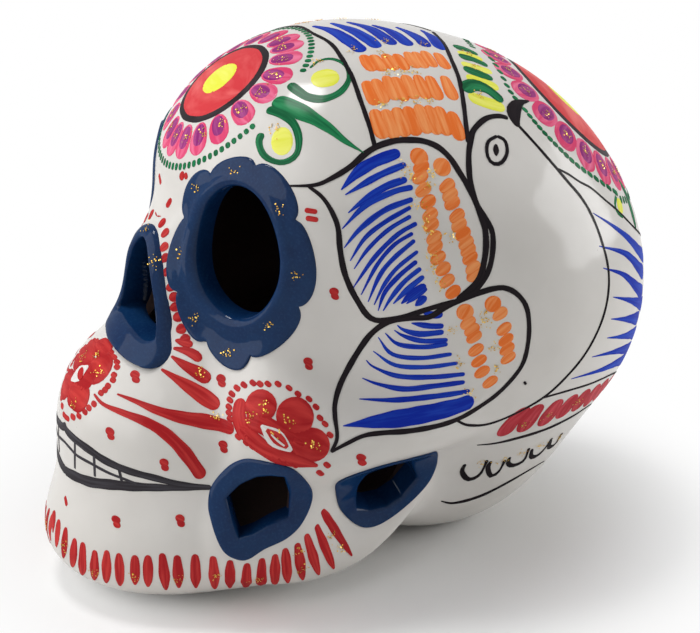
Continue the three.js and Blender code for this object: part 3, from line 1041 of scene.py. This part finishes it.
def paint_flowers(flowers):
    """The big flowers on the brow and on the back of the head: a red disc in pink petals."""
    outline = paint_material("dark_outline_paint", "#2C272A", "#453E42")
    disc_red = paint_material("disc_red_paint", "#D23E44", "#E8706E")
    pink = paint_material("pink_paint", "#DA4470", "#EC7C9E")
    magenta = paint_material("magenta_paint", "#8C2A74", "#B0528E")
    outlines = [disc(flower, flower.outline) for flower in flowers]
    discs = [disc(flower, flower.disc) for flower in flowers]
    petals = []
    cores = []
    for flower in flowers:
        petals += spokes(flower, flower.angles, *flower.petal)
        cores += spokes(flower, flower.angles, *flower.core)
    paint("disc_outlines", outline, outlines, height=0.07, both=False)
    paint("discs", disc_red, discs, both=False)
    paint("petals", pink, petals, height=0.08, both=False)
    paint("petal_cores", magenta, cores, height=0.11, both=False)


def paint_red(lip):
    """Leaves, petals and small marks of the face, and the strokes around the chin and under the tail."""
    column = [(153, 218), (162, 223), (165, 233), (164, 247), (165, 258), (167, 272), (171, 287), (174, 297),
              (175, 307), (178, 317), (181, 329), (185, 339)]
    leaves = [
        ([(175, 340), (193, 345)], (0.6, 2.2, 1.6)),
        ([(173, 348), (186, 351), (195, 355), (201, 361)], (0.6, 1.8, 2.5, 2.2)),
        ([(171, 356), (186, 366), (200, 374), (210, 381)], (0.6, 2.2, 3.5, 3.0)),
        ([(161, 369), (180, 381), (197, 392), (219, 407)], (0.6, 2.4, 4.1, 3.4)),
        ([(117, 394), (135, 401), (156, 410), (180, 417), (203, 421), (221, 425), (234, 430)],
         (0.5, 1.6, 2.8, 3.8, 3.0)),
        ([(94, 394), (103, 404), (121, 412), (144, 421), (162, 431), (177, 444), (189, 458), (203, 478)],
         (0.6, 1.3, 2.2, 3.0, 3.5, 3.2)),
    ]
    cheek = [
        ([(241, 398), (239, 418), (246, 441)], (3.6, 4.8, 4.0)), dab(261, 406, 31, 8, 8.6),
        dab(295, 416, 37, 10, 9.8), dab(311, 445, 37, 8, 8.8),
        ([(240, 428), (262, 447), (285, 457), (318, 466)], (4.6, 5.0, 4.6, 0.8)),
        ([(246, 418), (262, 424), (282, 436), (304, 446)], (5.0, 5.0, 5.5, 5.0)),
    ]
    cheek_dashes = [(237, 388), (244, 385), (253, 383), (260, 384), (268, 384), (278, 384), (289, 388),
                    (298, 394), (309, 399), (316, 407), (320, 418), (325, 424), (330, 435), (232, 394),
                    (230, 400), (229, 407), (229, 413), (230, 419), (238, 437), (246, 443), (252, 447),
                    (259, 451), (266, 455), (274, 458), (281, 461), (288, 463), (295, 465), (327, 465),
                    (320, 473)]
    marks = [(334, 294), (308, 364), (135, 377), (110, 434), (164, 465), (223, 447),
             (221, 381), (116, 522), (180, 521), (361, 460)]
    chin_tops = [(59, 519), (66, 527), (75, 538), (83, 542), (95, 550), (107, 550), (119, 553),
                 (135, 555), (148, 555), (162, 553), (177, 555), (195, 554), (213, 556), (230, 560),
                 (247, 563), (262, 558), (275, 554), (285, 548), (297, 543), (306, 534), (316, 525),
                 (322, 510)]
    chin_ends = [(56, 547), (63, 558), (72, 567), (82, 575), (94, 580), (106, 583), (120, 586),
                 (135, 585), (148, 587), (166, 590), (179, 588), (196, 588), (215, 589), (230, 588),
                 (246, 588), (261, 587), (275, 586), (288, 583), (303, 580), (319, 575), (334, 569),
                 (352, 556)]
    tail = [
        [(503, 436), (511, 423), (529, 407)], [(522, 432), (530, 418), (541, 404)],
        [(542, 426), (551, 412), (561, 399)], [(560, 418), (568, 405), (577, 394)],
        [(576, 410), (582, 399), (588, 389)], [(588, 404), (593, 394), (599, 384)],
        [(597, 397), (602, 388), (606, 380)], [(605, 391), (608, 384), (612, 377)],
    ]
    red = paint_material("red_paint", "#A81F24", "#C93C39")
    strokes = leaves + cheek + dabs(cheek_dashes, 6, 5, 1.4) + dabs([(311, 211), (312, 219)], 13, 2, 1.3)
    for x, y in marks:
        strokes += [dab(x, y - 2.5, 9, 4, 1.5, 2.1, 1.4), dab(x + 1, y + 2.5, 7, 5, 1.4, 1.8, 1.1)]
    for i, (x, y) in enumerate(column):
        strokes.append(dab(x, y, 7 + i / 3, i / 2 - 9, 1.2, 2.0 + 0.07 * i, 1.8))
    strokes += [([top, end], (1.5, 2.6, 2.8, 2.0, 0.5)) for top, end in zip(chin_tops, chin_ends)]
    paint("red_strokes", red, strokes)
    crimson = paint_material("crimson_paint", "#AE2E38", "#D0505A")
    paint("tail_strokes", crimson, [(path, (4.4, 6.0, 4.2)) for path in tail])
    lip_dashes = [(111, 352), (114, 357), (117, 362), (117, 367), (114, 375), (113, 380), (108, 386),
                  (105, 390), (101, 393), (94, 404), (89, 408), (85, 412), (79, 416), (73, 417),
                  (67, 418)]
    paint("lip_dashes", red, dabs(lip_dashes, 5, 4, 1.5))
    single_marks = [dab(66, 501, 2, 10, 1.2), dab(160, 179, 2, 10, 1.2), dab(169, 203, 5, -9, 1.8),
                    dab(182, 176, 2, 8, 2.4), dab(186, 176, 2, 6, 1.4),
                    ([(54, 510), (53, 533)], (2.2, 2.4, 0.4))]
    petals = [(4.3, 4.7, 4.6, 6.2), (5.3, 4.9, -5.2, 6.2), (4.4, 2.6, -0.6, 10.6), (5.3, 4.0, 2.7, -2.8),
              (4.6, 4.2, -5.8, -2.8), (5.6, 5.2, 0.6, 2.4)]
    lip_petals = [spot(lip, *petal) for petal in petals]
    paint("lip_flower", red, lip_petals + single_marks, both=False)


def paint_hearts():
    """White eyes with a red kernel in the small flowers of the cheek and the lip, and the cheek's curl."""
    white = paint_material("white_paint", "#DDD9D5", "#EBE9E6")
    red = paint_material("kernel_red_paint", "#B02226", "#C93C39")
    cheek_eye = [(261, 425), (275, 438), (292, 451)], (0.6, 4.6, 0.8)
    cheek_kernel = [(266, 429), (277, 438), (288, 448)], (0.6, 3.0, 0.8)
    cheek_curl = [(271, 434), (277, 440), (285, 446)], (0.3, 0.5, 0.4)
    lip_eye = [(71, 380), (80, 373), (89, 366)], (0.6, 4.8, 0.8)
    lip_kernel = dab(81, 374, 0, 12, 1.4, 2.6, 1.4)
    paint("cheek_eyes", white, [cheek_eye], height=0.17)
    paint("cheek_kernels", red, [cheek_kernel], height=0.24)
    paint("cheek_curls", white, [cheek_curl], height=0.31)
    paint("lip_eye", white, [lip_eye], height=0.17, both=False)
    paint("lip_kernel", red, [lip_kernel], height=0.24, both=False)


# Glitter
FLAKES = 15
CLUSTER_SPREAD = 0.85
FLAKE_LEAN = 0.22
FLAKE_THICKNESS = 0.05
FLAKE_RADII = (0.1, 0.24)
FLAKE_SIDES = 6
FLAKE_TONE = 0.8
PILE = 0.12
ON_PAINT = 0.15
ON_PETAL = 0.55
ON_MOULDING = 1.5


def glitter_material():
    """Gold craft glitter: flakes of metal foil, some brighter than others."""
    material, tree, coordinates = new_material("gold_glitter")
    cell = add(tree, "TexVoronoi", {"Vector": coordinates, "Scale": per_metre(FLAKE_TONE)})
    tone = add(tree, "SeparateXYZ", {"Vector": cell.outputs["Color"]})
    colour = add(tree, "Mix", {
        0: tone.outputs["X"], 6: linear("#B07F1E"), 7: linear("#F0CE6A"),
    }, data_type="RGBA")
    shader = add(tree, "BsdfPrincipled", {
        "Base Color": colour.outputs[2], "Metallic": 1.0, "Roughness": 0.28,
    })
    add(tree, "OutputMaterial", {"Surface": shader.outputs["BSDF"]})
    return material


def glitter(name, material, places, height=ON_PAINT, both=True):
    """Pinches of flakes dropped around each place, on paint or enamel of a height."""
    centres = np.repeat(np.asarray(places, float), FLAKES, axis=0)
    points = centres + rng.normal(0, CLUSTER_SPREAD, centres.shape)
    points = settle(settle(points, 0.0), height + rng.uniform(0, PILE, len(points)))
    facing = unit(skin_normal(points) + rng.normal(0, FLAKE_LEAN, points.shape))
    mesh = bmesh.new()
    for place, way in zip(points, facing):
        radius = rng.uniform(*FLAKE_RADII) * MM
        turn = Vector(way).to_track_quat("Z", "Y").to_matrix().to_4x4()
        bmesh.ops.create_cone(
            mesh, cap_ends=True, segments=FLAKE_SIDES, radius1=radius, radius2=radius,
            depth=FLAKE_THICKNESS * MM, matrix=Matrix.Translation(Vector(place) * MM) @ turn,
        )
    finish_sides(mesh, name, material, both)


def add_glitter(brow, nape):
    """Glitter on the wings, the flowers, the chin and the enamel."""
    places = [(405, 167), (410, 177), (431, 174), (430, 186), (420, 205), (425, 222), (427, 230),
              (451, 236), (431, 256), (434, 268), (439, 285), (451, 330), (485, 312), (486, 323),
              (460, 363), (494, 346), (497, 368), (469, 391), (384, 55), (387, 73), (401, 72), (413, 72),
              (381, 104), (401, 101), (416, 101), (428, 101), (353, 49), (384, 41), (421, 44), (468, 54),
              (475, 67), (479, 95), (524, 424), (547, 415), (577, 402), (483, 462), (503, 460),
              (520, 454), (539, 446), (559, 437), (266, 405), (288, 421), (249, 417), (314, 446),
              (272, 434), (218, 415), (200, 373), (64, 546), (94, 571), (134, 576), (179, 579),
              (216, 576), (257, 579), (298, 550), (302, 568), (331, 535), (341, 548)]
    on_petals = [(279, 210), (295, 275), (194, 320), (269, 324), (229, 353)]
    by_the_brow = [(236, 172), (198, 188), (183, 251)]
    on_nose = [(157, 262), (151, 232)]
    on_left_only = [(99, 372), (73, 404), (97, 354), (83, 358), (316, 62), (277, 128)]
    gold = glitter_material()
    glitter("glitter", gold, on_skin(places))
    glitter("petal_glitter", gold, on_skin(on_petals), ON_PETAL)
    glitter("brow_petal_glitter", gold, on_skin(by_the_brow), ON_PETAL, both=False)
    glitter("nose_glitter", gold, on_skin(on_nose), ON_MOULDING, both=False)
    glitter("lip_glitter", gold, on_skin(on_left_only), both=False)
    across_petals = spokes(brow, np.arange(-131, 100, 20), 15, 21) + spokes(nape, nape.angles, 21, 26)
    pinches = [path[SPOKE_POINTS // 2] for path, _ in across_petals]
    glitter("flower_glitter", gold, pinches, both=False)


# Stage, light and camera
FLOOR_HALF = 3.0
LIT_FLOOR_RADIUS = 0.05
WHITE_FLOOR_RADIUS = 0.125
WHITE = (1.0, 1.0, 1.0, 1.0)
LAMP_TARGET = (0.0, 0.0, 0.06)
FILL_LIGHT = 0.13


def floor():
    """A white paper floor: it takes the shadow near the skull and is plain white farther off."""
    material, tree, coordinates = new_material("white_paper")
    away = add(tree, "VectorMath", {0: coordinates}, operation="LENGTH")
    far = add(tree, "MapRange", {
        "Value": away.outputs["Value"], "From Min": LIT_FLOOR_RADIUS, "From Max": WHITE_FLOOR_RADIUS,
    }, interpolation_type="SMOOTHSTEP")
    share = add(tree, "Math", {0: far.outputs["Result"], 1: seen_rays(tree)}, operation="MULTIPLY")
    paper = add(tree, "BsdfDiffuse", {"Color": linear("#F7F7F6")})
    white = add(tree, "Emission", {"Color": WHITE, "Strength": 1.0})
    mix = add(tree, "MixShader", {
        0: share.outputs["Value"], 1: paper.outputs["BSDF"], 2: white.outputs["Emission"],
    })
    add(tree, "OutputMaterial", {"Surface": mix.outputs["Shader"]})
    mesh = bmesh.new()
    bmesh.ops.create_grid(mesh, x_segments=1, y_segments=1, size=FLOOR_HALF)
    mesh_object(mesh, "floor", [material])


def soft_box(name, place, size, power):
    """A square area light that faces the skull."""
    data = bpy.data.lights.new(name, "AREA")
    data.size = size
    data.energy = power
    lamp = add_object(name, data)
    lamp.location = place
    lamp.rotation_euler = (Vector(LAMP_TARGET) - Vector(place)).to_track_quat("-Z", "Y").to_euler()


def studio():
    """Soft studio light: boxes before, behind and above the skull."""
    world = bpy.data.worlds.new("studio")
    bpy.context.scene.world = world
    world.use_nodes = True
    tree = world.node_tree
    tree.nodes.clear()
    dim = add(tree, "Background", {"Color": WHITE, "Strength": FILL_LIGHT})
    white = add(tree, "Background", {"Color": WHITE, "Strength": 1.0})
    mix = add(tree, "MixShader", {
        0: seen_rays(tree), 1: dim.outputs["Background"], 2: white.outputs["Background"],
    })
    add(tree, "OutputWorld", {"Surface": mix.outputs["Shader"]})
    soft_box("front_box", place=(-0.1, -1.1, 0.7), size=1.5, power=13.5)
    soft_box("back_box", place=(0.3, 1.05, 0.2), size=0.8, power=9.5)
    soft_box("top_box", place=(-0.24, -0.2, 1.2), size=0.3, power=6.0)


def camera():
    """The photograph's camera."""
    data = bpy.data.cameras.new("camera")
    data.sensor_width = SENSOR
    data.lens = SENSOR * LENS_PIXELS / PHOTO_SIZE[0]
    data.clip_start = 0.01
    eye = add_object("camera", data)
    axes = Matrix((EYE_RIGHT, EYE_UP, -EYE_FORWARD)).transposed()
    eye.matrix_world = Matrix.Translation(Vector(EYE_PLACE) * MM) @ axes.to_4x4()
    bpy.context.scene.camera = eye


bpy.context.scene.view_settings.view_transform = "Standard"
camera()
floor()
studio()
clay_halves(slip_material(), hollow_clay_and_shade_material())
enamel_collars(enamel_material())
flowers_of_head = (brow_flower(), nape_flower())
lip_patch = Opening((0, -77, 58.5), 0, 32)
paint_yellow(flowers_of_head)
paint_orange()
paint_cobalt()
paint_flowers(flowers_of_head)
paint_red(lip_patch)
paint_hearts()
paint_green(*flowers_of_head)
paint_mouth()
paint_black()
add_glitter(*flowers_of_head)
